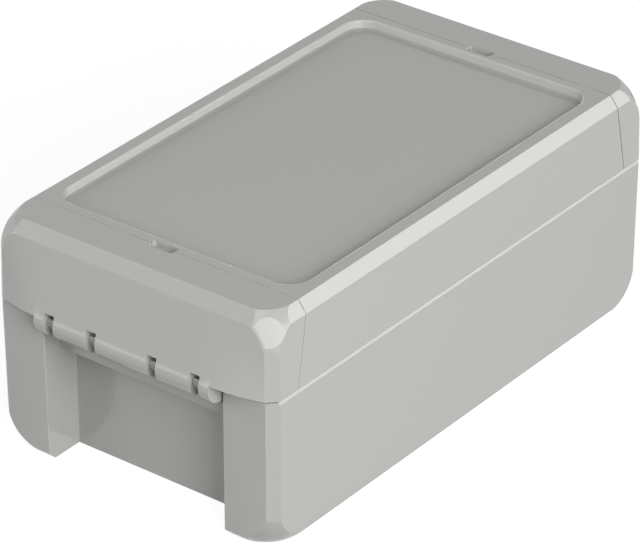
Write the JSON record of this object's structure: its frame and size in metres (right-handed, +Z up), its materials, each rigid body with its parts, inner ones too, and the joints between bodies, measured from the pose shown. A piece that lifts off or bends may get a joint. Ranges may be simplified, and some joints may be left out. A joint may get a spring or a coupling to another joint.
{
  "type": "plastic project box",
  "caption": "Rectangular light-grey plastic project box with a sunk label panel and a hinged snap latch across each short end.",
  "frame": {"origin": "middle of the underside, in the plane the box stands on", "axes": "+X across the width, +Y along the length towards the rear latch, +Z up through the lid"},
  "size_m": [0.08, 0.151, 0.06],
  "materials": {
    "shell": "light grey moulded plastic, smooth satin",
    "seal": "black foamed cord"
  },
  "bodies": {
    "base": {"base": "shell"},
    "lid": {"lid": "shell", "lid_gasket": "seal"},
    "front_latch": {"front_latch": "shell"},
    "rear_latch": {"rear_latch": "shell"}
  },
  "joints": [
    {"name": "lid_hinge", "type": "hinge", "parent": "base", "child": "lid", "pos_m": [0, 0.0715, 0.0393], "axis": [-1, 0, 0], "range_deg": [0, 100]},
    {"name": "front_latch_hinge", "type": "hinge", "parent": "base", "child": "front_latch", "pos_m": [0, -0.0715, 0.0393], "axis": [1, 0, 0], "range_deg": [0, 105]},
    {"name": "rear_latch_hinge", "type": "hinge", "parent": "base", "child": "rear_latch", "pos_m": [0, 0.0715, 0.0393], "axis": [-1, 0, 0], "range_deg": [0, 100]}
  ],
  "couplings": [
    {"joint": "rear_latch_hinge", "follows": "lid_hinge", "ratio": 1}
  ]
}
